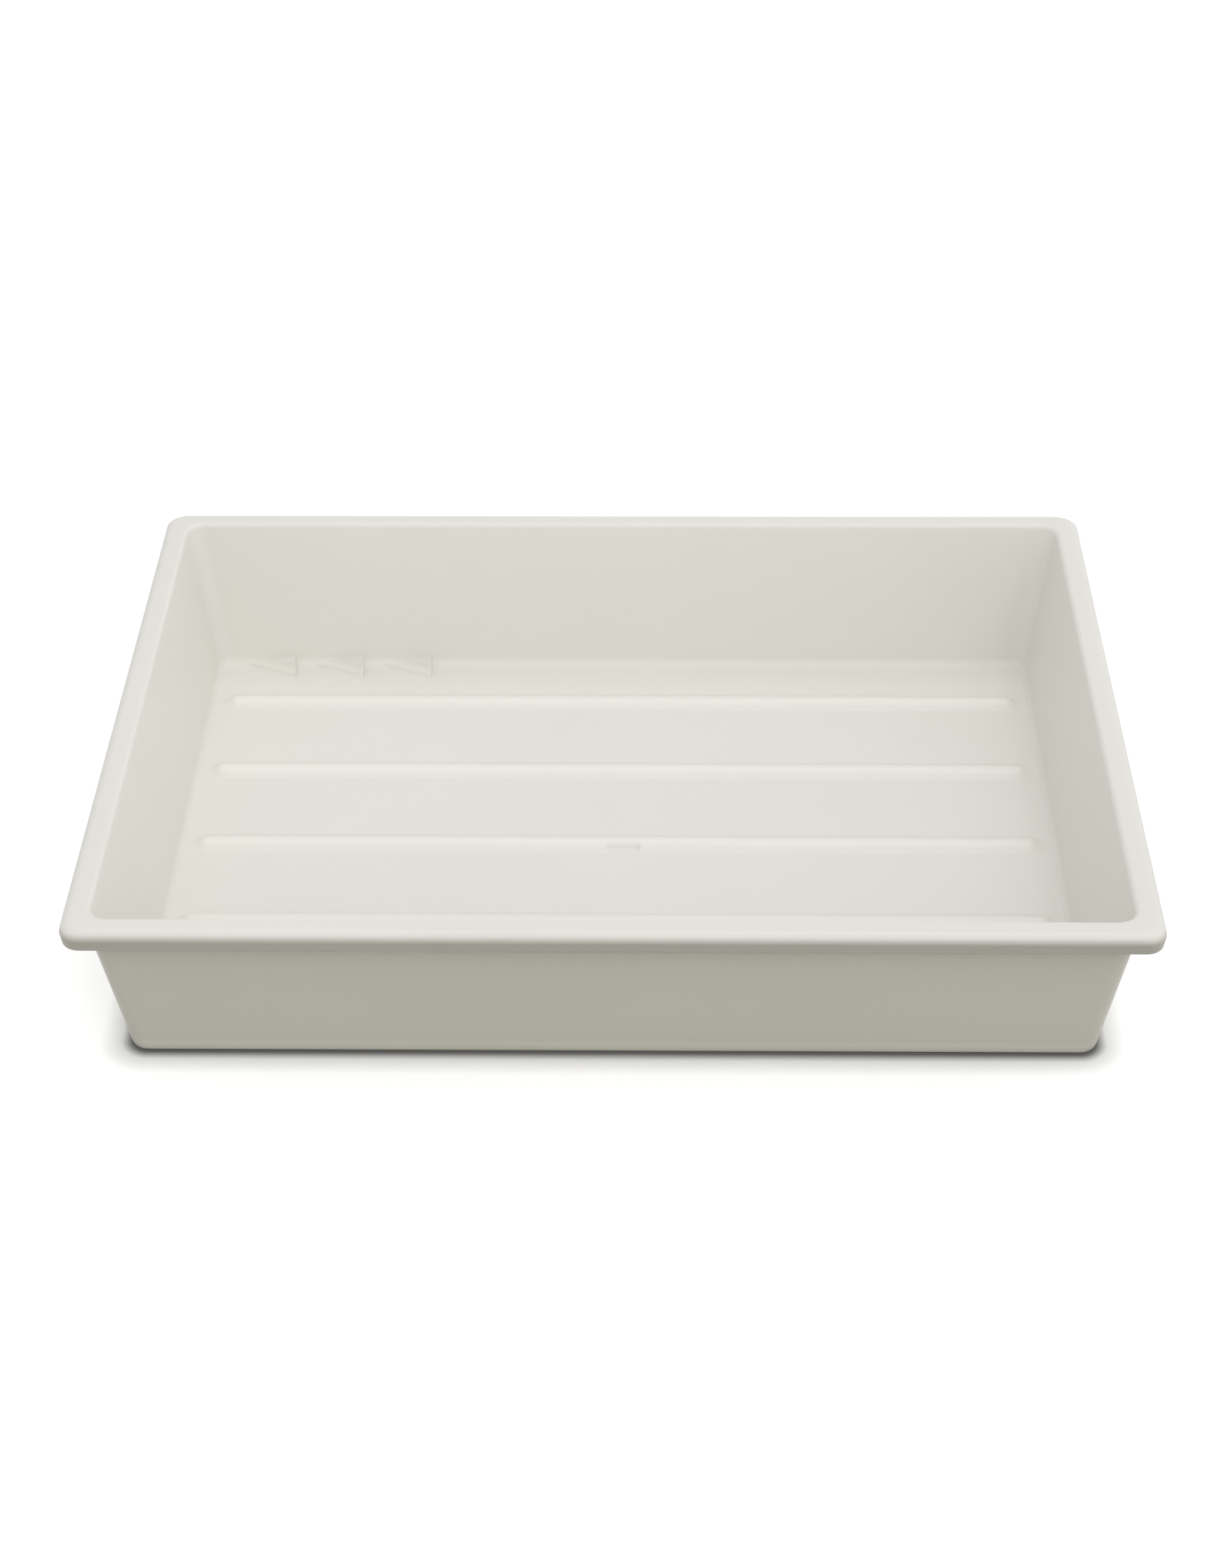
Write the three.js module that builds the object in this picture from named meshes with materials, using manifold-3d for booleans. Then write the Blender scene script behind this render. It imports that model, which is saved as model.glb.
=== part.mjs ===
// Deep rectangular tray for liquids, moulded in one piece of plastic: a flat floor with raised
// ribs, four walls that lean outwards, and a rim that turns down into a skirt all round.
// The moulding is drawn as its named regions. They meet face to face on level and upright planes.
// Millimetres. +X runs along the length, +Y to the rear and +Z up. The origin is under the middle
// of the floor, on the surface that the tray stands on.

import * as THREE from 'three';
import { ConvexGeometry } from 'three/addons/geometries/ConvexGeometry.js';
import { mergeVertices } from 'three/addons/utils/BufferGeometryUtils.js';
import Module from 'manifold-3d';

const wasm = await Module();
wasm.setup();

// Overall size, over the rim
const LENGTH = 475;
const WIDTH = 366;
const HEIGHT = 82;

// Thicknesses: the wall's is measured level
const FLOOR = 2.5;
const WALL = 3.5;
const FLANGE = 2.5;
const SKIRT = 2.2;

// Distances inwards from the rim's outer edge, called insets below
const MOUTH_INSET = 12;
const FOOT_INSET = 25;
const SKIRT_DROP = 10;

// Corner radii in plan, and edge radii in section. The rim's outer edge is wider than it is high.
const RIM_CORNER = 12;
const MOUTH_CORNER = 10;
const FOOT_CORNER = 8;
const RIM_EDGE = 5;
const RIM_EDGE_WIDTH = 7.5;
const SKIRT_CHAMFER = 1.5;
const FOOT_FILLET = 4;
const BASE_EDGE = 3;
const ARC_STEPS = 3;

// Where the corner regions begin, inwards from the rim's outer edge
const CORNER_SPAN = 33;

// Floor ribs: they run along X, and the middle one is a little in front of the centre
const RIB_COUNT = 5;
const RIB_PITCH = 63.6;
const RIB_OFFSET = -4;
const RIB_LENGTH = 416;
const RIB_WIDTH = 12;
const RIB_HEIGHT = 3;

// Lugs: three fins that leave the rear wall at a slant and grow towards +X, in reach and height
const LUG_COUNT = 3;
const LUG_PITCH = 36;
const LUG_FIRST_END = -172.5;
const LUG_LENGTH = 25;
const LUG_REACH = 10.5;
const LUG_RISE = 9.2;
const LUG_CREST = 1.6;
const LUG_GAP = 0.3;

const SKIRT_FOOT = HEIGHT - SKIRT_DROP;
const FLANGE_FOOT = HEIGHT - FLANGE;
const TAPER = (FOOT_INSET - MOUTH_INSET) / (HEIGHT - FLOOR);
const LEAN = Math.atan(TAPER);
const CLEAR = 5;

const plastic = { color: 0xdedbd2, roughness: 0.35, metalness: 0 };

const tray = new THREE.Group();
tray.name = 'tray';

function addMesh(name, geometry) {
  const mesh = new THREE.Mesh(geometry, new THREE.MeshStandardMaterial(plastic));
  mesh.name = name;
  tray.add(mesh);
}

// Inset and plan corner radius of the cavity's wall at height z
function cavityInset(z) {
  return FOOT_INSET - (z - FLOOR) * TAPER;
}

function cavityCorner(z) {
  return THREE.MathUtils.mapLinear(z, FLOOR, HEIGHT, FOOT_CORNER, MOUTH_CORNER);
}

// A level rounded rectangle, as points in space
function ring(inset, corner, z) {
  const x = LENGTH / 2 - inset - corner;
  const y = WIDTH / 2 - inset - corner;
  const outline = new THREE.Path();
  outline.absarc(x, y, corner, 0, Math.PI / 2);
  outline.absarc(-x, y, corner, Math.PI / 2, Math.PI);
  outline.absarc(-x, -y, corner, Math.PI, Math.PI * 1.5);
  outline.absarc(x, -y, corner, Math.PI * 1.5, Math.PI * 2);
  return outline.getPoints(ARC_STEPS).map((p) => new THREE.Vector3(p.x, p.y, z));
}

// Rings of a wall that leans outwards by LEAN, from a rounded lower edge up to height top.
// wallInset(z) and wallCorner(z) describe its straight part, and base is the height of its foot.
function leaningRings(wallInset, wallCorner, base, edge, top) {
  const centreInset = wallInset(base + edge) + edge / Math.cos(LEAN);
  const rings = [];
  for (let step = 0; step <= ARC_STEPS; step += 1) {
    const angle = THREE.MathUtils.lerp(Math.PI / 2, LEAN, step / ARC_STEPS);
    const z = base + edge - edge * Math.sin(angle);
    const inset = centreInset - edge * Math.cos(angle);
    rings.push(ring(inset, wallCorner(z) - (inset - wallInset(z)), z));
  }
  rings.push(ring(wallInset(top), wallCorner(top), top));
  return rings;
}

function solidFrom(geometry) {
  geometry.deleteAttribute('normal');
  geometry.deleteAttribute('uv');
  const welded = mergeVertices(geometry, 1e-4);
  return new wasm.Manifold(new wasm.Mesh({
    numProp: 3,
    vertProperties: welded.attributes.position.array,
    triVerts: new Uint32Array(welded.index.array),
  }));
}

function geometryFrom(solid) {
  const mesh = solid.getMesh();
  const geometry = new THREE.BufferGeometry();
  geometry.setAttribute('position', new THREE.BufferAttribute(mesh.vertProperties, 3));
  geometry.setIndex(new THREE.BufferAttribute(mesh.triVerts, 1));
  geometry.computeVertexNormals();
  return geometry;
}

const hull = (points) => solidFrom(new ConvexGeometry(points.flat()));

// The part of a solid between two opposite corners of an upright box
function clip(solid, low, high) {
  const box = new THREE.BoxGeometry(high[0] - low[0], high[1] - low[1], high[2] - low[2]);
  box.translate((low[0] + high[0]) / 2, (low[1] + high[1]) / 2, (low[2] + high[2]) / 2);
  return solid.intersect(solidFrom(box));
}

// The space inside the tray, taken on through the mouth and through the floor for a clean cut
function makeCavity() {
  const rings = leaningRings(cavityInset, cavityCorner, FLOOR, FOOT_FILLET, HEIGHT + CLEAR);
  const below = rings[0].map((point) => new THREE.Vector3(point.x, point.y, FLOOR - CLEAR));
  return hull([below, ...rings]);
}

// The outer shape of the floor and walls, up to the underside of the rim
function makeBody() {
  const inset = (z) => cavityInset(z) - WALL;
  return hull(leaningRings(inset, cavityCorner, 0, BASE_EDGE, FLANGE_FOOT));
}

// The outer shape of the rim and skirt: an upright block with a rounded upper edge
function makeRimBlock() {
  const rings = [ring(0, RIM_CORNER, SKIRT_FOOT)];
  for (let step = 0; step <= ARC_STEPS; step += 1) {
    const angle = (step / ARC_STEPS) * (Math.PI / 2);
    const inset = RIM_EDGE_WIDTH * (1 - Math.cos(angle));
    rings.push(ring(inset, RIM_CORNER, HEIGHT - RIM_EDGE * (1 - Math.sin(angle))));
  }
  return hull(rings);
}

// The space inside the skirt, taken on past both of its ends for a clean cut
function makeSkirtSpace() {
  const corner = RIM_CORNER - SKIRT;
  const inset = SKIRT + SKIRT_CHAMFER;
  return hull([
    ring(SKIRT, corner, SKIRT_FOOT - CLEAR),
    ring(SKIRT, corner, FLANGE_FOOT - SKIRT_CHAMFER),
    ring(inset, corner - SKIRT_CHAMFER, FLANGE_FOOT),
    ring(inset, corner - SKIRT_CHAMFER, HEIGHT + CLEAR),
  ]);
}

// Four straight sides and four corners of a solid that runs round the tray
function addSidesAndCorners(solid, kind, bottom, top) {
  const farX = LENGTH / 2 + CLEAR;
  const farY = WIDTH / 2 + CLEAR;
  const cutX = LENGTH / 2 - CORNER_SPAN;
  const cutY = WIDTH / 2 - CORNER_SPAN;
  const spansX = { left: [-farX, -cutX], middle: [-cutX, cutX], right: [cutX, farX] };
  const spansY = { front: [-farY, -cutY], middle: [-cutY, cutY], rear: [cutY, farY] };
  for (const [nameY, [y0, y1]] of Object.entries(spansY)) {
    for (const [nameX, [x0, x1]] of Object.entries(spansX)) {
      const sides = [nameY, nameX].filter((word) => word !== 'middle');
      if (sides.length > 0) {
        const suffix = sides.length === 2 ? `${kind}_corner` : kind;
        const region = clip(solid, [x0, y0, bottom], [x1, y1, top]);
        addMesh([...sides, suffix].join('_'), geometryFrom(region));
      }
    }
  }
}

function addFloor(body) {
  const far = LENGTH;
  addMesh('floor', geometryFrom(clip(body, [-far, -far, -CLEAR], [far, far, FLOOR])));
}

// Half circles about one end of a rib, on a low dome. Side is -1 or 1 along X.
function ribEnd(side, y) {
  const half = RIB_WIDTH / 2;
  const points = [];
  for (let step = 0; step <= ARC_STEPS; step += 1) {
    const share = step / ARC_STEPS;
    const z = FLOOR + RIB_HEIGHT * (1 - share * share);
    for (let turn = -ARC_STEPS; turn <= ARC_STEPS; turn += 1) {
      const angle = (turn / ARC_STEPS) * (Math.PI / 2);
      const x = side * (RIB_LENGTH / 2 - half + share * half * Math.cos(angle));
      points.push(new THREE.Vector3(x, y + share * half * Math.sin(angle), z));
    }
  }
  return points;
}

// A low bar with a rounded top and domed ends, standing on the floor
function addRibs() {
  for (let index = 0; index < RIB_COUNT; index += 1) {
    const y = RIB_OFFSET + (index - (RIB_COUNT - 1) / 2) * RIB_PITCH;
    addMesh(`floor_rib_${index + 1}`, geometryFrom(hull([ribEnd(-1, y), ribEnd(1, y)])));
  }
}

// Each lug springs from the wall just above its foot. Its front face leans back as the wall does.
function addLugs() {
  const wallY = (z) => WIDTH / 2 - cavityInset(z) - LUG_GAP;
  const slant = LUG_LENGTH / LUG_REACH;
  const tipZ = FLOOR + FOOT_FILLET;
  const topZ = FLOOR + LUG_RISE;
  const frontY = wallY(FLOOR) - LUG_REACH;
  const crestY = frontY + LUG_RISE * TAPER;
  const backY = crestY + LUG_CREST;
  const footY = wallY(FLOOR) - FOOT_FILLET;
  for (let index = 0; index < LUG_COUNT; index += 1) {
    const end = LUG_FIRST_END + index * LUG_PITCH;
    const points = [
      new THREE.Vector3(end, frontY, FLOOR),
      new THREE.Vector3(end, backY, FLOOR),
      new THREE.Vector3(end - (footY - frontY) * slant, footY, FLOOR),
      new THREE.Vector3(end - (footY - backY) * slant, footY, FLOOR),
      new THREE.Vector3(end - LUG_LENGTH, wallY(tipZ), tipZ),
      new THREE.Vector3(end - LUG_LENGTH + LUG_CREST * slant, wallY(tipZ), tipZ),
      new THREE.Vector3(end, crestY, topZ),
      new THREE.Vector3(end, backY, topZ),
    ];
    addMesh(`rear_lug_${index + 1}`, geometryFrom(hull(points)));
  }
}

const cavity = makeCavity();
const body = makeBody();
const rimBlock = makeRimBlock();
addFloor(body);
addSidesAndCorners(body.subtract(cavity), 'wall', FLOOR, FLANGE_FOOT);
addSidesAndCorners(rimBlock.subtract(cavity), 'rim', FLANGE_FOOT, HEIGHT);
addSidesAndCorners(rimBlock.subtract(makeSkirtSpace()), 'skirt', SKIRT_FOOT, FLANGE_FOOT);
addRibs();
addLugs();

export default tray;
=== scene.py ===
"""Looks of a deep ribbed tray: one moulded shell and three lugs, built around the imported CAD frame.

Everything is in metres. The shell is a stack of rounded-rectangle rings that follow the tray's
section, from the underside out and up to the rim, and back down to the floor. A grid closes the
floor, and its points are moved to make the ribs and the gate's mark.
"""

import math

import bmesh
import bpy
import numpy as np
from mathutils import Matrix, Vector


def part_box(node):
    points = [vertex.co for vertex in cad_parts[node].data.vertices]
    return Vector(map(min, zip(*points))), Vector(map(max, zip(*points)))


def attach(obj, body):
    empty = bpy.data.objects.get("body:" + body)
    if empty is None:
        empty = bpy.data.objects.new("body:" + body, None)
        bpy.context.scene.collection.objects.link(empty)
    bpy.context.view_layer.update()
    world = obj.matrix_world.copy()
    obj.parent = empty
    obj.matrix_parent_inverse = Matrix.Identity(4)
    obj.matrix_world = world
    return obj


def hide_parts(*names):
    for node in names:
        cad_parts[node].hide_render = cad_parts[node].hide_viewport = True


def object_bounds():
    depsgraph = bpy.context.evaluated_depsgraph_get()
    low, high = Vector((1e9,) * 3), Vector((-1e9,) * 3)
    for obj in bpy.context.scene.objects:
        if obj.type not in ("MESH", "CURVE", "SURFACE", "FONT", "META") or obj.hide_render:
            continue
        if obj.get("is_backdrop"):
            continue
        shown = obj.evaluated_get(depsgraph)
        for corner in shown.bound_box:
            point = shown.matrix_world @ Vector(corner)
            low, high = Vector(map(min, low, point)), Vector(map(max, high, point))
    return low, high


MM = 0.001

# Radii of the moulding's edges, in section
RIM_EDGE = 4.5 * MM
MOUTH_EDGE = 2.5 * MM
FOOT_FILLET = 4.0 * MM
BASE_EDGE = 3.0 * MM
FLANGE_FILLET = 1.5 * MM
SKIRT_FILLET = 1.8 * MM
SKIRT_EDGE = 0.7 * MM

# How far the skirt draws in, from the rim's rounded edge down to its foot
SKIRT_DRAFT = 0.9 * MM

# Radii of the moulding's corners, in plan
RIM_CORNER = 9.0 * MM
MOUTH_CORNER = 8.5 * MM
FOOT_CORNER = 8.0 * MM

# Half-width of a rib where its rounded top meets the floor
RIB_HALF = 8.5 * MM

# Lugs: how far they are sunk into wall and floor, their height where they leave the wall, how much
# further than the wall their face leans back, the width and edge radius of their crest, the flare
# of their foot, and the fall behind the crest
LUG_SINK = 1.2 * MM
LUG_TIP_RISE = 3.0 * MM
LUG_LEAN = 0.14
LUG_CREST = 0.7 * MM
LUG_EDGE = 0.35 * MM
LUG_FLARE = 2.4 * MM
LUG_FALL = 0.4

# A lug's end face: the share of the length at which its slanted edge begins, and that edge's size
LUG_END = 0.985
LUG_END_EDGE = 0.3 * MM

# Round mark of the moulding gate, across the front slope of the middle rib: its centre and radius,
# how far back from the centre the slope is cut, and the widths of the blends round and behind it
GATE_PLACE = (3.0 * MM, -7.0 * MM)
GATE_RADIUS = 8.0 * MM
GATE_BACK = 0.8 * MM
GATE_EDGE_BLEND = 0.8 * MM
GATE_BACK_BLEND = 2.0 * MM

# Groove along the mark's outline: its depth and half-width, and the stretches over which it
# deepens: to the front from the centre, and to the left and right in shares of the radius. At the
# right it has only a share of its depth.
GROOVE_DEPTH = 0.4 * MM
GROOVE_HALF = 1.1 * MM
GROOVE_FRONT = (1.0 * MM, -2.0 * MM)
GROOVE_LEFT = (0.5, 0.9)
GROOVE_RIGHT = (0.7, 1.0)
GROOVE_RIGHT_SHARE = 0.3

# Steps of an arc in the section, of a corner in plan and of the arcs across a lug, the steps along
# a lug, and the turn in degrees from which an edge is shaded as sharp
ARC_STEPS = 6
CORNER_STEPS = 12
LUG_ARC_STEPS = 4
LUG_STEPS = 8
SHARP_ANGLE = 38.0

# Rings on the straight stretches of the section: how many the outer wall, the skirt, the upper and
# lower inner wall and the edge of the floor have, and how far they keep from the rounded edges.
# The upper part ends and the lower part begins at these heights above the foot's fillet.
OUTER_RINGS = 4
SKIRT_RINGS = 3
UPPER_RINGS = 5
LOWER_RINGS = 6
FLOOR_RINGS = 5
WALL_GAP = 1.0 * MM
BASE_GAP = 1.8 * MM
SKIRT_GAP = 0.4 * MM
UPPER_END = 10.0 * MM
LOWER_START = 8.5 * MM

# Stations along the sides and across the floor: their usual step, the steps and reaches at the
# ribs, the gate's mark and the ribs' ends, and the gaps at the ends and between two stations
STATION_STEP = 8.0 * MM
FINE_STEP = 0.8 * MM
RIB_MARGIN = 1.0 * MM
GATE_REACH = 10.5 * MM
RIB_END_STEP = 1.0 * MM
RIB_END_REACH = 3.0 * MM
END_GAP = 1.0 * MM
STATION_GAP = 0.2 * MM

# Points and levels closer than this count as one. The shell's own points are told apart more
# finely, by their place in steps per metre.
CLOSE = 0.01 * MM
POINT_STEPS = 1e7

# How strongly a face's size counts in the weighted normals
FACE_WEIGHT = 90

# Plastic: its two tones, its range of roughness, what a scratch adds to that, its mould grain and
# how it reflects
PLASTIC_TONES = ((0.835, 0.819, 0.771), (0.849, 0.833, 0.785))
PLASTIC_ROUGHNESS = (0.33, 0.4)
SCRATCH_ROUGHNESS = 0.04
GRAIN_STRENGTH = 0.12
GRAIN_HEIGHT = 0.2 * MM
PLASTIC_IOR = 1.49
PLASTIC_SPECULAR = 0.35

# Sizes of the plastic's patterns, as the scale of each noise texture. Scratches run along X.
FLOW_SCALE = 9.0
GLOSS_SCALE = 35.0
GRAIN_SCALE = 450.0
SCRATCH_SCALE = (40.0, 700.0, 700.0)

# A noise texture stays mostly between the first two values, and its peaks between the other two
NOISE_SPAN = (0.3, 0.7)
NOISE_PEAKS = (0.6, 0.8)

# Painted highlight: the paler colour painted on the plastic at the ribs' tops and the foot of the
# walls, and the heights above the floor between which this painted highlight comes in and goes out
PAINTED_HIGHLIGHT_COLOUR = (0.90, 0.885, 0.835)
HIGHLIGHT_IN = (1.1 * MM, 2.6 * MM)
HIGHLIGHT_OUT = (3.2 * MM, 6.0 * MM)

# Painted shade on the outer faces: the darker, warmer colour painted there, and how much darker still
# the painted shade on the skirt is. It comes in past the middle of the wall, and goes out about the
# underside of the rim. The skirt's comes in past the wall's outer face.
OUTER_PAINTED_SHADE = (0.91, 0.9, 0.81)
SKIRT_PAINTED_SHADE = 0.75
PAINTED_SHADE_IN = 1.0 * MM
PAINTED_SHADE_OUT = (-2.0 * MM, 1.0 * MM)
SKIRT_IN = (2.0 * MM, 5.0 * MM)

# Camera: where it stands, how it is turned, and its lens and sensor
CAMERA_PLACE = (0.0204, -1.2269, 0.8733)
CAMERA_YAW = 1.06
CAMERA_PITCH = 34.33
CAMERA_ROLL = -0.44
CAMERA_LENS = 70.6
CAMERA_SENSOR = 36

# Two distant lamps: the direction from the tray to each, their strength and their width in degrees
OVERHEAD_TOWARDS = (0.05, 0.12, 1)
FRONT_KEY_TOWARDS = (0.2, -1.2, 1)
OVERHEAD = 0.45
FRONT_KEY = 0.4
SUN_WIDTH = 35

# Soft light all round: its even part, what is added at the right and level with the tray, the
# height up to which that is added, and the light from below with the depth where it is whole.
# Heights here are those of a direction of length 1.
SKY_EVEN = 0.63
SKY_RIGHT = 0.3
SKY_HORIZON = 0.37
HORIZON_HEIGHT = 0.3
HORIZON_POWER = 2.0
FLOOR_BOUNCE = 0.16
BOUNCE_DEPTH = -0.1

# Studio floor: its reach, tones and roughness, the size of its pattern, and its glow far from the
# tray and near it. The stronger glow near the tray is painted light that lifts the tray's shadow. The
# glow starts at the first distance from the tray's foot, is whole at the second and faint from the
# third on. Under the tray the floor has a painted contact shadow, a dark colour which fades out over
# a distance of its own.
STUDIO_REACH = 30.0
STUDIO_TONES = ((0.94, 0.94, 0.94), (0.955, 0.955, 0.955))
STUDIO_ROUGHNESS = 0.7
STUDIO_SCALE = 2.0
FLOOR_GLOW = 0.15
NEAR_PAINTED_LIGHT = 0.4
GLOW_DISTANCES = (1.0 * MM, 15.0 * MM, 220.0 * MM)
PAINTED_CONTACT_SHADOW = (0.2, 0.2, 0.2)
CONTACT_SHADOW_REACH = 5.0 * MM


# ---------------------------------------------------------------- sizes from the frame

class Sizes:
    """The tray's dimensions, read from the CAD nodes."""

    def __init__(self):
        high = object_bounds()[1]
        self.half_x, self.half_y, self.top = high.x, high.y, high.z
        self.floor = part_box("floor")[1].z
        self.flange_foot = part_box("front_rim")[0].z
        self.skirt_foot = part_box("front_skirt")[0].z
        self.skirt = self.half_x - abs(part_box("left_skirt")[1].x)
        mouth = self.half_x - abs(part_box("left_rim")[1].x)
        wall_top = self.half_x - abs(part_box("left_wall")[0].x)
        wall_foot = self.half_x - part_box("floor")[1].x
        self.taper = (wall_foot - wall_top) / (self.flange_foot - self.floor)
        self.lean = math.atan(self.taper)
        self.wall = mouth - wall_top
        self.foot_inset = wall_foot + self.wall
        self.inner_x = self.half_x - self.foot_inset
        self.inner_y = self.half_y - self.foot_inset

    def cavity_inset(self, z):
        return self.foot_inset - (z - self.floor) * self.taper

    def body_inset(self, z):
        return self.cavity_inset(z) - self.wall

    def wall_corner(self, z):
        share = (z - self.floor) / (self.top - self.floor)
        return FOOT_CORNER + (MOUTH_CORNER - FOOT_CORNER) * share


def nodes_named(nodes, start):
    return sorted(node for node in nodes if node.startswith(start))


# ---------------------------------------------------------------- the section, as rings

def quarter(steps):
    """Angles of a quarter turn, in radians."""
    return [math.radians(90 * n / steps) for n in range(steps + 1)]


def arc(centre_inset, centre_z, radius, start, end):
    """Points of an arc in the section. Angle 0 points inwards, to a larger inset, and 90 up."""
    points = []
    for step in range(ARC_STEPS + 1):
        angle = math.radians(start + (end - start) * step / ARC_STEPS)
        points.append((centre_inset + radius * math.cos(angle), centre_z + radius * math.sin(angle)))
    return points


def straight(inset_at, z_start, z_end, count):
    heights = np.linspace(z_start, z_end, count)
    return [(inset_at(z), z) for z in heights]


def along_wall(size, inset_at, points):
    """Rings beside a leaning wall. Their corners have the same centres as the wall's."""
    return [(i, size.wall_corner(z) - (i - inset_at(z)), z) for i, z in points]


def outer_wall(size):
    """Rings from the underside, up the outer wall, to the underside of the rim."""
    lean, slant = math.degrees(size.lean), math.cos(size.lean)
    base = size.body_inset(BASE_EDGE) + BASE_EDGE / slant
    under_z = size.flange_foot - FLANGE_FILLET
    under = size.body_inset(under_z) - FLANGE_FILLET / slant
    points = arc(base, BASE_EDGE, BASE_EDGE, 270, 180 + lean)
    points += straight(size.body_inset, BASE_EDGE + BASE_GAP, under_z - WALL_GAP, OUTER_RINGS)
    points += arc(under, under_z, FLANGE_FILLET, lean, 90)
    return along_wall(size, size.body_inset, points)


def skirt(size):
    """Rings down the inside of the skirt, round its foot and up its outside."""
    top_z = size.flange_foot - SKIRT_FILLET
    low_z = size.skirt_foot + SKIRT_EDGE
    edge_z = size.top - RIM_EDGE
    points = arc(size.skirt + SKIRT_FILLET, top_z, SKIRT_FILLET, 90, 180)
    points += arc(size.skirt - SKIRT_EDGE, low_z, SKIRT_EDGE, 0, -90)
    points += arc(SKIRT_EDGE, low_z, SKIRT_EDGE, 270, 180)
    points += straight(lambda z: 0.0, low_z + SKIRT_GAP, edge_z - SKIRT_GAP, SKIRT_RINGS)
    rings = []
    for inset, z in points:
        share = max(0.0, edge_z - z) / (edge_z - size.skirt_foot)
        drawn_in = inset + SKIRT_DRAFT * share
        rings.append((drawn_in, RIM_CORNER - drawn_in, z))
    return rings


def rim_edge(size):
    """Rings round the rim's outer edge, all with the rim's own corner radius."""
    points = arc(RIM_EDGE, size.top - RIM_EDGE, RIM_EDGE, 180, 90)
    return [(inset, RIM_CORNER, z) for inset, z in points]


def inner_wall(size):
    """Rings from the mouth's edge, down the inner wall, to the floor."""
    lean, slant = math.degrees(size.lean), math.cos(size.lean)
    mouth_z = size.top - MOUTH_EDGE
    mouth = size.cavity_inset(mouth_z) - MOUTH_EDGE / slant
    foot_z = size.floor + FOOT_FILLET
    foot = size.cavity_inset(foot_z) + FOOT_FILLET / slant
    points = arc(mouth, mouth_z, MOUTH_EDGE, 90, lean)
    points += straight(size.cavity_inset, mouth_z - WALL_GAP, foot_z + UPPER_END, UPPER_RINGS)
    points += straight(size.cavity_inset, foot_z + LOWER_START, foot_z + WALL_GAP, LOWER_RINGS)
    points += arc(foot, foot_z, FOOT_FILLET, 180 + lean, 270)
    return along_wall(size, size.cavity_inset, points)


def section(size):
    """Rings (inset, corner radius, height) from the underside, over the rim, to the floor."""
    rings = outer_wall(size) + skirt(size) + rim_edge(size) + inner_wall(size)
    inset, corner, z = rings[-1]
    for step in range(1, FLOOR_RINGS + 1):
        shift = corner * step / FLOOR_RINGS
        rings.append((inset + shift, corner - shift, z))
    return rings


# ---------------------------------------------------------------- stations along the sides

def spread(low, high, step):
    count = max(1, round((high - low) / step))
    return np.linspace(low, high, count + 1)


def around(middle, reach, step):
    return spread(middle - reach, middle + reach, step)


def merged(parts, reach):
    """All the stations within reach of the middle, in order and none too close to the next."""
    values = np.sort(np.concatenate(parts))
    values = values[np.abs(values) <= reach]
    kept = [values[0]]
    for value in values[1:]:
        if value - kept[-1] > STATION_GAP:
            kept.append(value)
    return np.array(kept)


def stations(ribs, straight_x, straight_y):
    """Stations along X and along Y. They lie close together where the floor isn't level."""
    gate_x, gate_y = GATE_PLACE
    reach_x, reach_y = straight_x - END_GAP, straight_y - END_GAP
    xs = [around(0.0, reach_x, STATION_STEP), around(gate_x, GATE_REACH, FINE_STEP)]
    xs += [around(end, RIB_END_REACH, RIB_END_STEP) for end in (-reach_x, reach_x)]
    ys = [around(0.0, reach_y, STATION_STEP), around(gate_y, GATE_REACH, FINE_STEP)]
    ys += [around(middle, RIB_HALF + RIB_MARGIN, FINE_STEP) for middle in ribs]
    return merged(xs, reach_x), merged(ys, reach_y)


# ---------------------------------------------------------------- shape of the floor

def fade(value, start, end):
    """A smooth step from 0 at the start to 1 at the end."""
    share = min(max((value - start) / (end - start), 0.0), 1.0)
    return share * share * (3 - 2 * share)


def rib_height(x, y, ribs, rib_end, rise):
    """Height of the ribs above the floor: a rounded top all along, and domed ends."""
    past = max(0.0, abs(x) - (rib_end - RIB_HALF))
    height = 0.0
    for middle in ribs:
        away = min(math.hypot(past, y - middle) / RIB_HALF, 1.0)
        height = max(height, rise * (1 + math.cos(math.pi * away)) / 2)
    return height


def with_gate(x, y, height):
    """The gate's mark: the rib's front slope is cut back, and a fine groove marks both ends."""
    across, along = x - GATE_PLACE[0], y - GATE_PLACE[1]
    away = math.hypot(across, along)
    inside = fade(away, GATE_RADIUS, GATE_RADIUS - GATE_EDGE_BLEND)
    cut_back = fade(along, GATE_BACK, GATE_BACK - GATE_BACK_BLEND)
    side = across / GATE_RADIUS
    groove = fade(abs(away - GATE_RADIUS), GROOVE_HALF, 0.0) * fade(along, *GROOVE_FRONT)
    groove *= fade(-side, *GROOVE_LEFT) + GROOVE_RIGHT_SHARE * fade(side, *GROOVE_RIGHT)
    return height * (1 - inside * cut_back) - GROOVE_DEPTH * groove


# ---------------------------------------------------------------- the shell's mesh

class Shell:
    """Points and faces of the whole moulding."""

    def __init__(self):
        self.points = []
        self.faces = []
        self.index = {}

    def add(self, x, y, z):
        key = (round(x * POINT_STEPS), round(y * POINT_STEPS), round(z * POINT_STEPS))
        if key not in self.index:
            self.index[key] = len(self.points)
            self.points.append(Vector((x, y, z)))
        return self.index[key]

    def face(self, corners):
        kept = [c for n, c in enumerate(corners) if c != corners[n - 1]]
        if len(kept) > 2:
            self.faces.append(kept)


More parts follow.
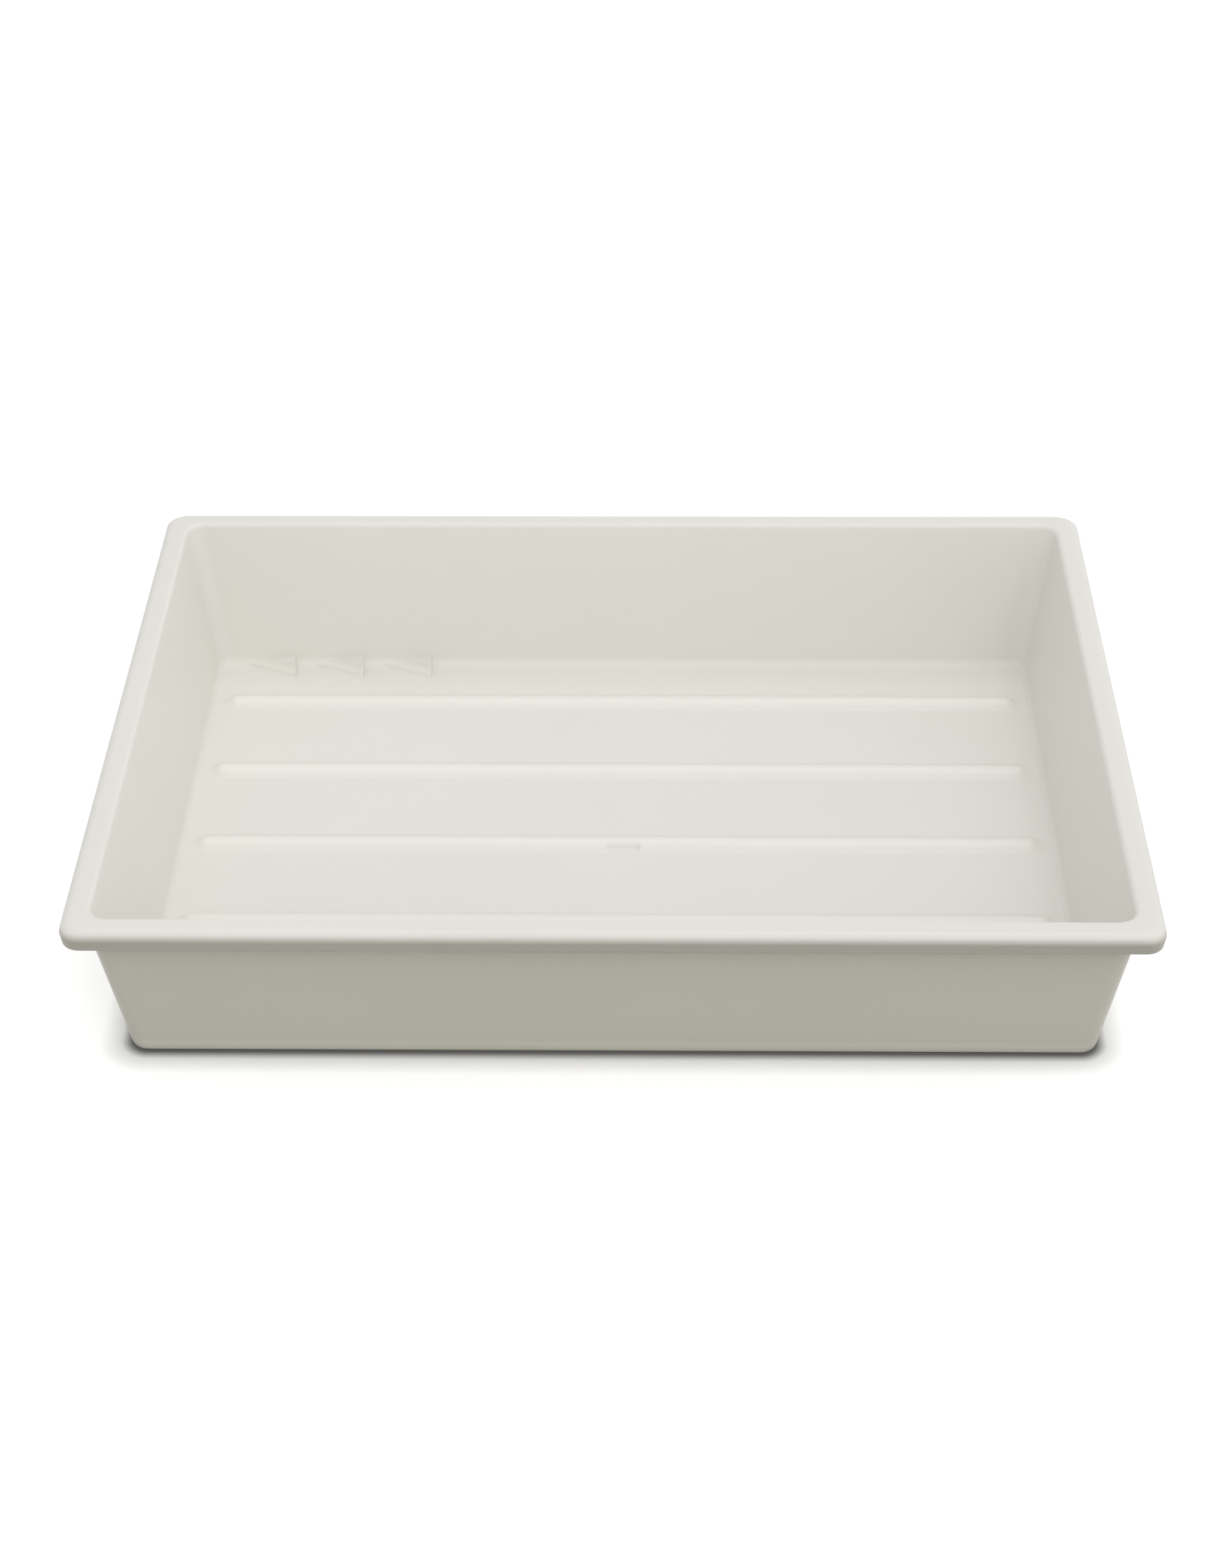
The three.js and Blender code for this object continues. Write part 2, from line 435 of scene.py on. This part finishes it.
def ring_points(size, inset, corner, xs, ys):
    """A rounded rectangle, anticlockwise from the front left, with the shared stations."""
    end_x = size.half_x - inset - corner
    end_y = size.half_y - inset - corner

    def bend(sign_x, sign_y, start):
        angles = [start + turn for turn in quarter(CORNER_STEPS)]
        return [(sign_x * end_x + corner * math.cos(a), sign_y * end_y + corner * math.sin(a))
                for a in angles]

    front, rear = -size.half_y + inset, size.half_y - inset
    left, right = -size.half_x + inset, size.half_x - inset
    points = [(x, front) for x in xs]
    points += bend(1, -1, -math.pi / 2)
    points += [(right, y) for y in ys]
    points += bend(1, 1, 0)
    points += [(x, rear) for x in xs[::-1]]
    points += bend(-1, 1, math.pi / 2)
    points += [(left, y) for y in ys[::-1]]
    points += bend(-1, -1, math.pi)
    return points


def fill_floor(shell, z, xs, ys):
    for y0, y1 in zip(ys, ys[1:]):
        for x0, x1 in zip(xs, xs[1:]):
            corners = [(x0, y0), (x1, y0), (x1, y1), (x0, y1)]
            shell.face([shell.add(x, y, z) for x, y in corners])


def level_shell(size, ribs):
    """The whole shell, with a level floor."""
    rings = section(size)
    inset, _, floor_z = rings[-1]
    end_x, end_y = size.half_x - inset, size.half_y - inset
    xs, ys = stations(ribs, end_x, end_y)
    shell = Shell()
    rows = []
    for inset, corner, z in rings:
        outline = ring_points(size, inset, corner, xs, ys)
        rows.append([shell.add(x, y, z) for x, y in outline])
    for lower, upper in zip(rows, rows[1:]):
        for n in range(len(lower)):
            after = (n + 1) % len(lower)
            shell.face([lower[n], lower[after], upper[after], upper[n]])
    shell.face(rows[0][::-1])
    fill_floor(shell, floor_z, [-end_x, *xs, end_x], [-end_y, *ys, end_y])
    return shell


def shape_floor(size, shell, ribs, rib_box):
    """Raises the ribs on the level floor, and sinks the gate's mark."""
    low, high = rib_box
    for point in shell.points:
        on_floor = abs(point.z - size.floor) < CLOSE
        if on_floor and abs(point.x) < size.inner_x and abs(point.y) < size.inner_y:
            height = rib_height(point.x, point.y, ribs, high.x, high.z - low.z)
            point.z += with_gate(point.x, point.y, height)


def finish_mesh(work, name, material):
    """An object with smooth shading, apart from edges that turn more than the limit."""
    bmesh.ops.remove_doubles(work, verts=work.verts, dist=CLOSE)
    bmesh.ops.dissolve_degenerate(work, edges=work.edges, dist=CLOSE)
    bmesh.ops.recalc_face_normals(work, faces=work.faces)
    limit = math.radians(SHARP_ANGLE)
    for face in work.faces:
        face.smooth = True
    for edge in work.edges:
        edge.smooth = len(edge.link_faces) == 2 and edge.calc_face_angle() < limit
    mesh = bpy.data.meshes.new(name)
    work.to_mesh(mesh)
    work.free()
    mesh.materials.append(material)
    piece = bpy.data.objects.new(name, mesh)
    bpy.context.scene.collection.objects.link(piece)
    weigh = piece.modifiers.new("weighted_normals", "WEIGHTED_NORMAL")
    weigh.weight = FACE_WEIGHT
    weigh.keep_sharp = True
    return piece


def make_shell(size, rib_nodes, material):
    boxes = [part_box(node) for node in rib_nodes]
    ribs = [(low.y + high.y) / 2 for low, high in boxes]
    shell = level_shell(size, ribs)
    shape_floor(size, shell, ribs, boxes[0])
    work = bmesh.new()
    corners = [work.verts.new(point) for point in shell.points]
    for face in shell.faces:
        work.faces.new([corners[n] for n in face])
    return finish_mesh(work, "tray_shell", material)


# ---------------------------------------------------------------- the lugs

def lug_profile(size, face_y, rise, shrink):
    """Outline across a lug as (y, z): flared foot, leaning face, round crest, fall to the wall."""
    face_y += shrink
    top = rise - shrink
    turns = quarter(LUG_ARC_STEPS)
    points = [(face_y + LUG_FLARE * (math.sin(a) - 1), LUG_FLARE * (1 - math.cos(a)))
              for a in turns]
    crest_y = face_y + rise * (size.taper + LUG_LEAN) + LUG_EDGE
    crest_z = top - LUG_EDGE
    points += [(crest_y - LUG_EDGE * math.cos(a), crest_z + LUG_EDGE * math.sin(a)) for a in turns]
    crest_y += LUG_CREST - 2 * LUG_EDGE
    points.append((crest_y, top))
    depth = max(size.inner_y - crest_y, 0.0)
    points.append((size.inner_y + 2 * LUG_SINK, max(top - depth * LUG_FALL, 0.0)))
    points = [(points[0][0], -LUG_SINK), *points, (points[-1][0], -LUG_SINK)]
    return [(min(y, size.inner_y + max(z, 0.0) * size.taper + LUG_SINK), z) for y, z in points]


def make_lug(size, node, name, material):
    """A fin that leaves the rear wall at a slant and grows towards +X."""
    low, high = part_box(node)
    slant = (high.x - low.x) / (size.inner_y - low.y)
    length = (size.inner_y + LUG_SINK - low.y) * slant
    rise = high.z - size.floor
    stops = [(n / LUG_STEPS * LUG_END, 0.0) for n in range(LUG_STEPS + 1)]
    work = bmesh.new()
    layers = []
    for share, shrink in [*stops, (1.0, LUG_END_EDGE)]:
        x = high.x - length * (1 - share)
        face_y = low.y + (high.x - x) / slant
        outline = lug_profile(size, face_y, LUG_TIP_RISE + (rise - LUG_TIP_RISE) * share, shrink)
        layers.append([work.verts.new((x, y, size.floor + z)) for y, z in outline])
    for start, after in zip(layers, layers[1:]):
        for n in range(len(start)):
            work.faces.new([start[n - 1], start[n], after[n], after[n - 1]])
    work.faces.new(layers[0])
    work.faces.new(layers[-1])
    return finish_mesh(work, name, material)


# ---------------------------------------------------------------- shader nodes

def new_material(name):
    material = bpy.data.materials.new(name)
    material.use_nodes = True
    tree = material.node_tree
    shader = tree.nodes["Principled BSDF"]
    return material, tree, shader


def split_axes(tree, vector):
    node = tree.nodes.new("ShaderNodeSeparateXYZ")
    tree.links.new(vector, node.inputs["Vector"])
    return node.outputs


def noise(tree, coordinates, scale, detail, roughness=0.5):
    node = tree.nodes.new("ShaderNodeTexNoise")
    node.inputs["Scale"].default_value = scale
    node.inputs["Detail"].default_value = detail
    node.inputs["Roughness"].default_value = roughness
    tree.links.new(coordinates, node.inputs["Vector"])
    return node.outputs["Fac"]


def toned(tree, pattern, tones):
    """A colour that a noise pattern leads from the first tone to the second."""
    node = tree.nodes.new("ShaderNodeValToRGB")
    for element, place, tone in zip(node.color_ramp.elements, NOISE_SPAN, tones):
        element.position = place
        element.color = (*tone, 1)
    tree.links.new(pattern, node.inputs["Fac"])
    return node.outputs["Color"]


def remap(tree, value, low, high, to_low, to_high):
    """The value's stretch from low to high, mapped to another stretch and held at its ends."""
    node = tree.nodes.new("ShaderNodeMapRange")
    numbers = {"From Min": low, "From Max": high, "To Min": to_low, "To Max": to_high}
    for name, number in numbers.items():
        node.inputs[name].default_value = number
    tree.links.new(value, node.inputs["Value"])
    return node.outputs["Result"]


def calculate(tree, operation, *values):
    """A math node. Each value is a number or another node's output."""
    node = tree.nodes.new("ShaderNodeMath")
    node.operation = operation
    for socket, value in zip(node.inputs, values):
        if isinstance(value, (int, float)):
            socket.default_value = value
        else:
            tree.links.new(value, socket)
    return node.outputs["Value"]


def mixed(tree, blend, factor, first, second):
    """A colour mix of a node's output with a fixed colour."""
    node = tree.nodes.new("ShaderNodeMix")
    node.data_type = "RGBA"
    node.blend_type = blend
    tree.links.new(factor, node.inputs["Factor"])
    tree.links.new(first, node.inputs["A"])
    node.inputs["B"].default_value = (*second, 1)
    return node.outputs["Result"]


def past_outline(tree, axes, half_x, half_y, grow):
    """Distance of a point outside a rounded rectangle in plan. Grow is added to its half sizes."""
    squares = []
    for axis, half in ((axes["X"], half_x), (axes["Y"], half_y)):
        from_middle = calculate(tree, "ABSOLUTE", axis)
        from_corner = calculate(tree, "SUBTRACT", from_middle, half - FOOT_CORNER)
        past = calculate(tree, "MAXIMUM", calculate(tree, "SUBTRACT", from_corner, grow), 0.0)
        squares.append(calculate(tree, "MULTIPLY", past, past))
    distance = calculate(tree, "SQRT", calculate(tree, "ADD", *squares))
    return calculate(tree, "SUBTRACT", distance, FOOT_CORNER)


# ---------------------------------------------------------------- materials

def painted_highlight(tree, colour, height, size):
    """Paints a highlight at the height of the ribs' tops, which takes in the foot of the walls: the
    colour is paled there.
    """
    raised = remap(tree, height, size.floor + HIGHLIGHT_IN[0], size.floor + HIGHLIGHT_IN[1], 0, 1)
    above = remap(tree, height, size.floor + HIGHLIGHT_OUT[0], size.floor + HIGHLIGHT_OUT[1], 1, 0)
    return mixed(tree, "MIX", calculate(tree, "MULTIPLY", raised, above), colour, PAINTED_HIGHLIGHT_COLOUR)


def outer_painted_shade(tree, colour, axes, size):
    """Paints shade on the outer faces, darker and warmer, and darker still on the skirt: they lie
    beyond the middle of the leaning wall, below the rim.
    """
    above_floor = calculate(tree, "SUBTRACT", axes["Z"], size.floor)
    grow = calculate(tree, "MULTIPLY", above_floor, size.taper)
    past = past_outline(tree, axes, size.inner_x, size.inner_y, grow)
    outer = remap(tree, past, size.wall / 2, size.wall / 2 + PAINTED_SHADE_IN, 0.0, 1.0)
    under_rim = [size.flange_foot + shift for shift in PAINTED_SHADE_OUT]
    below = remap(tree, axes["Z"], *under_rim, 1.0, 0.0)
    tinted = mixed(tree, "MULTIPLY", calculate(tree, "MULTIPLY", outer, below), colour, OUTER_PAINTED_SHADE)
    skirt_in = [size.wall + shift for shift in SKIRT_IN]
    on_skirt = calculate(tree, "MULTIPLY", remap(tree, past, *skirt_in, 0.0, 1.0), below)
    return mixed(tree, "MULTIPLY", on_skirt, tinted, (SKIRT_PAINTED_SHADE, SKIRT_PAINTED_SHADE, SKIRT_PAINTED_SHADE))


def scratched_gloss(tree, place):
    """Roughness that varies a little, with long fine scratches."""
    stretch = tree.nodes.new("ShaderNodeMapping")
    stretch.inputs["Scale"].default_value = SCRATCH_SCALE
    tree.links.new(place, stretch.inputs["Vector"])
    lines = noise(tree, stretch.outputs["Vector"], 1.0, detail=2.0, roughness=0.4)
    scratch = remap(tree, lines, *NOISE_PEAKS, 0.0, SCRATCH_ROUGHNESS)
    patches = noise(tree, place, GLOSS_SCALE, detail=4.0)
    gloss = remap(tree, patches, *NOISE_SPAN, *PLASTIC_ROUGHNESS)
    return calculate(tree, "ADD", gloss, scratch)


def mould_grain(tree, place):
    bump = tree.nodes.new("ShaderNodeBump")
    bump.inputs["Strength"].default_value = GRAIN_STRENGTH
    bump.inputs["Distance"].default_value = GRAIN_HEIGHT
    tree.links.new(noise(tree, place, GRAIN_SCALE, detail=3.0), bump.inputs["Height"])
    return bump.outputs["Normal"]


def tray_plastic(size):
    """Off-white moulded plastic: soft gloss, faint flow marks and fine handling scratches. A painted
    highlight makes it paler on the ribs and along the foot of the walls. Painted shade makes it
    darker and warmer outside, and darkest on the skirt.
    """
    material, tree, shader = new_material("tray_plastic")
    place = tree.nodes.new("ShaderNodeTexCoord").outputs["Object"]
    axes = split_axes(tree, place)
    colour = toned(tree, noise(tree, place, FLOW_SCALE, detail=2.0), PLASTIC_TONES)
    # painted highlight on the ribs' tops and the foot of the walls
    colour = painted_highlight(tree, colour, axes["Z"], size)
    # painted shade: darker, warmer outer faces, darker still on the skirt
    tree.links.new(outer_painted_shade(tree, colour, axes, size), shader.inputs["Base Color"])
    tree.links.new(scratched_gloss(tree, place), shader.inputs["Roughness"])
    tree.links.new(mould_grain(tree, place), shader.inputs["Normal"])
    shader.inputs["IOR"].default_value = PLASTIC_IOR
    shader.inputs["Specular IOR Level"].default_value = PLASTIC_SPECULAR
    return material


def floor_surface():
    """Plain white floor with a faint unevenness of tone. It glows a little, and more round the tray,
    where this painted light keeps the tray's shadow narrow. It has no glow under the tray, where a
    painted contact shadow keeps the line of contact dark.
    """
    material, tree, shader = new_material("studio_floor")
    place = tree.nodes.new("ShaderNodeTexCoord").outputs["Object"]
    colour = toned(tree, noise(tree, place, STUDIO_SCALE, detail=2.0), STUDIO_TONES)
    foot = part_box("floor")[1]
    beyond = past_outline(tree, split_axes(tree, place), foot.x, foot.y, 0.0)
    # painted contact shadow: a dark floor colour at the tray's foot, fading out
    contact = remap(tree, beyond, 0.0, CONTACT_SHADOW_REACH, 1.0, 0.0)
    dark = mixed(tree, "MIX", contact, colour, PAINTED_CONTACT_SHADOW)
    tree.links.new(dark, shader.inputs["Base Color"])
    start, whole, faint = GLOW_DISTANCES
    clear = remap(tree, beyond, start, whole, 0.0, 1.0)
    # painted light: a stronger glow round the tray that lifts its shadow
    fading = remap(tree, beyond, whole, faint, NEAR_PAINTED_LIGHT, FLOOR_GLOW)
    glow = calculate(tree, "MULTIPLY", clear, fading)
    tree.links.new(glow, shader.inputs["Emission Strength"])
    shader.inputs["Emission Color"].default_value = (1, 1, 1, 1)
    shader.inputs["Roughness"].default_value = STUDIO_ROUGHNESS
    return material


# ---------------------------------------------------------------- stage, lights and camera

def make_floor(material):
    """A wide level floor, left out of the soft light that reaches the tray."""
    mesh = bpy.data.meshes.new("studio_floor")
    signs = [(-1, -1), (1, -1), (1, 1), (-1, 1)]
    corners = [(x * STUDIO_REACH, y * STUDIO_REACH, 0) for x, y in signs]
    mesh.from_pydata(corners, [], [(0, 1, 2, 3)])
    mesh.materials.append(material)
    floor = bpy.data.objects.new("studio_floor", mesh)
    floor.visible_diffuse = False
    bpy.context.scene.collection.objects.link(floor)
    floor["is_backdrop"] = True


def soft_sun(name, towards, strength):
    """A distant, wide lamp. Towards is the direction from the tray to the lamp."""
    data = bpy.data.lights.new(name, "SUN")
    data.energy = strength
    data.angle = math.radians(SUN_WIDTH)
    light = bpy.data.objects.new(name, data)
    light.rotation_euler = Vector(towards).to_track_quat("Z", "Y").to_euler()
    bpy.context.scene.collection.objects.link(light)


def make_world():
    """Soft light from all round: a little stronger from the right and level, faint from below."""
    world = bpy.data.worlds.new("studio")
    world.use_nodes = True
    tree = world.node_tree
    axes = split_axes(tree, tree.nodes.new("ShaderNodeTexCoord").outputs["Generated"])
    upper = remap(tree, axes["Z"], BOUNCE_DEPTH, 0.0, 0.0, 1.0)
    lower = calculate(tree, "SUBTRACT", 1.0, upper)
    right = calculate(tree, "MULTIPLY", calculate(tree, "MAXIMUM", axes["X"], 0.0), SKY_RIGHT)
    band = remap(tree, axes["Z"], 0.0, HORIZON_HEIGHT, 1.0, 0.0)
    level = calculate(tree, "POWER", band, HORIZON_POWER)
    horizon = calculate(tree, "MULTIPLY", level, SKY_HORIZON)
    sky = calculate(tree, "ADD", calculate(tree, "ADD", right, horizon), SKY_EVEN)
    above = calculate(tree, "MULTIPLY", sky, upper)
    below = calculate(tree, "MULTIPLY", lower, FLOOR_BOUNCE)
    backdrop = tree.nodes["Background"]
    backdrop.inputs["Color"].default_value = (1, 1, 1, 1)
    tree.links.new(calculate(tree, "ADD", above, below), backdrop.inputs["Strength"])
    bpy.context.scene.world = world


def make_lights():
    soft_sun("overhead", OVERHEAD_TOWARDS, OVERHEAD)
    soft_sun("front_key", FRONT_KEY_TOWARDS, FRONT_KEY)
    make_world()


def make_camera():
    yaw, pitch, roll = (math.radians(v) for v in (CAMERA_YAW, CAMERA_PITCH, CAMERA_ROLL))
    ahead = Vector((-math.sin(yaw) * math.cos(pitch), math.cos(yaw) * math.cos(pitch),
                    -math.sin(pitch)))
    level = Vector((math.cos(yaw), math.sin(yaw), 0))
    up = level.cross(ahead)
    right = level * math.cos(roll) + up * math.sin(roll)
    up = up * math.cos(roll) - level * math.sin(roll)
    data = bpy.data.cameras.new("camera")
    data.sensor_width = CAMERA_SENSOR
    data.lens = CAMERA_LENS
    camera = bpy.data.objects.new("camera", data)
    turn = Matrix((right, up, -ahead)).transposed()
    camera.matrix_world = Matrix.Translation(CAMERA_PLACE) @ turn.to_4x4()
    bpy.context.scene.collection.objects.link(camera)
    bpy.context.scene.camera = camera


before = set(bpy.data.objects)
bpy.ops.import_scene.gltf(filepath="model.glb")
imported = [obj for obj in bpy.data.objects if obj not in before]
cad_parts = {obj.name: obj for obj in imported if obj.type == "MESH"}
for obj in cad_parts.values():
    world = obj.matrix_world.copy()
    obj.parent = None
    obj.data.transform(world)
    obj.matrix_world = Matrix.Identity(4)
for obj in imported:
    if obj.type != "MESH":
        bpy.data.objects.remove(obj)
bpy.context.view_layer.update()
bpy.context.scene.view_settings.view_transform = "Standard"
size = Sizes()
plastic = tray_plastic(size)
rib_nodes = nodes_named(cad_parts, "floor_rib_")
lug_nodes = nodes_named(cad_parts, "rear_lug_")
shell_nodes = sorted(set(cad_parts) - set(lug_nodes))
pieces = [(make_shell(size, rib_nodes, plastic), shell_nodes)]
for number, node in enumerate(lug_nodes, 1):
    pieces.append((make_lug(size, node, f"lug_{number}", plastic), [node]))
for piece, nodes in pieces:
    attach(piece, "root")
    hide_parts(*nodes)
make_floor(floor_surface())
make_lights()
make_camera()
